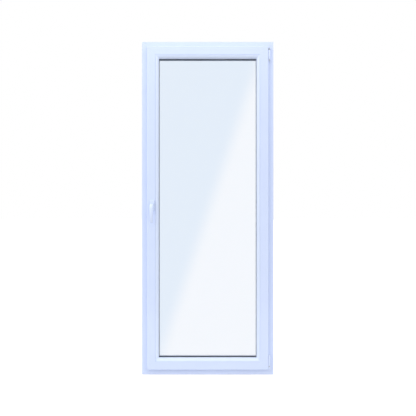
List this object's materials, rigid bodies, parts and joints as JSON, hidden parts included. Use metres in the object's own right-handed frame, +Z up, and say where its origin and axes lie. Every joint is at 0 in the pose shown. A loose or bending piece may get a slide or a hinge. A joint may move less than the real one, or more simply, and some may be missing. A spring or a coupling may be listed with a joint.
{
  "type": "casement window",
  "caption": "Tall white tilt-and-turn casement window with one inward-opening glazed sash, lever handle, espagnolette lock and tilt stay.",
  "frame": {"origin": "centre of the frame sill's underside, half way through the frame's depth", "axes": "+Z up, +Y towards the outdoors, +X towards the hinge side, to the right as seen from the room"},
  "size_m": [0.85, 0.1523, 2.15],
  "materials": {
    "upvc": "white moulded uPVC, satin",
    "coated": "white powder coat",
    "steel": "zinc-plated steel",
    "gasket": "black EPDM",
    "seal_grey": "grey TPE",
    "glass": "clear float glass",
    "spacer": "mill aluminium",
    "plastic": "moulded polypropylene"
  },
  "bodies": {
    "frame": {"bottom_hinge_bearing": "coated", "drain_cap_hinge_side": "upvc", "drain_cap_lock_side": "upvc", "frame_head": "upvc", "frame_head_steel": "steel", "frame_hinge_jamb": "upvc", "frame_hinge_jamb_steel": "steel", "frame_lock_jamb": "upvc", "frame_lock_jamb_steel": "steel", "frame_sill": "upvc", "frame_sill_steel": "steel", "frame_weather_gasket": "gasket", "lock_keep_lower": "steel", "lock_keep_middle": "steel", "lock_keep_upper": "steel", "tilt_keep": "steel", "top_hinge_bracket": "coated", "top_hinge_pin": "steel"},
    "pivot": {"bottom_pivot_pin": "steel"},
    "handle": {"handle_lever": "coated", "handle_spindle": "steel", "drive_pinion": "steel"},
    "lock_rod": {"lock_side_drive_rod": "steel", "lock_cam_lower": "steel", "lock_cam_middle": "steel", "lock_cam_upper": "steel"},
    "bottom_rod": {"bottom_drive_rod": "steel", "tilt_cam": "steel"},
    "stay_slider": {"stay_shoe": "steel"},
    "stay": {"tilt_stay_arm": "steel"},
    "sash": {"bead_bottom": "upvc", "bead_hinge_side": "upvc", "bead_lock_side": "upvc", "bead_top": "upvc", "bottom_corner_hinge": "coated", "bottom_faceplate": "steel", "gearbox_case": "steel", "handle_rosette": "coated", "inner_glazing_gasket": "gasket", "inner_pane": "glass", "lock_side_faceplate": "steel", "outer_glazing_gasket": "gasket", "outer_pane": "glass", "rosette_screw_bottom": "steel", "rosette_screw_top": "steel", "sash_bottom_rail": "upvc", "sash_bottom_rail_steel": "steel", "sash_hinge_stile": "upvc", "sash_hinge_stile_steel": "steel", "sash_lip_gasket": "seal_grey", "sash_lip_gasket_hinge_side": "seal_grey", "sash_lock_stile": "upvc", "sash_lock_stile_steel": "steel", "sash_top_rail": "upvc", "sash_top_rail_steel": "steel", "setting_block_hinge_side": "plastic", "setting_block_lock_side": "plastic", "setting_block_lock_stile": "plastic", "spacer_frame": "spacer", "top_faceplate": "steel"}
  },
  "joints": [
    {"name": "sash_tilt", "type": "hinge", "parent": "frame", "child": "pivot", "pos_m": [0.397, -0.047, 0.038], "axis": [1, 0, 0], "range_deg": [0, 4.5]},
    {"name": "sash_turn", "type": "hinge", "parent": "pivot", "child": "sash", "pos_m": [0.397, -0.047, 0.038], "axis": [0, 0, 1], "range_deg": [0, 90]},
    {"name": "handle_turn", "type": "hinge", "parent": "sash", "child": "handle", "pos_m": [-0.356, -0.06, 1.092], "axis": [0, -1, 0], "range_deg": [0, 180]},
    {"name": "lock_rod_slide", "type": "slide", "parent": "sash", "child": "lock_rod", "axis": [0, 0, -1], "range_m": [0, 0.03]},
    {"name": "bottom_rod_slide", "type": "slide", "parent": "sash", "child": "bottom_rod", "axis": [1, 0, 0], "range_m": [0, 0.03]},
    {"name": "stay_shoe_slide", "type": "slide", "parent": "sash", "child": "stay_slider", "axis": [1, 0, 0], "range_m": [0, 0.034]},
    {"name": "stay_swing", "type": "hinge", "parent": "stay_slider", "child": "stay", "pos_m": [-0.003, -0.0255, 2.098], "axis": [0, 0, 1], "range_deg": [0, 24]}
  ],
  "couplings": [
    {"joint": "lock_rod_slide", "follows": "handle_turn", "m_per_rad": 0.0095},
    {"joint": "bottom_rod_slide", "follows": "handle_turn", "m_per_rad": 0.0095},
    {"joint": "stay_shoe_slide", "follows": "sash_tilt", "m_per_rad": 0.411},
    {"joint": "stay_swing", "follows": "sash_tilt", "ratio": 5.15}
  ]
}
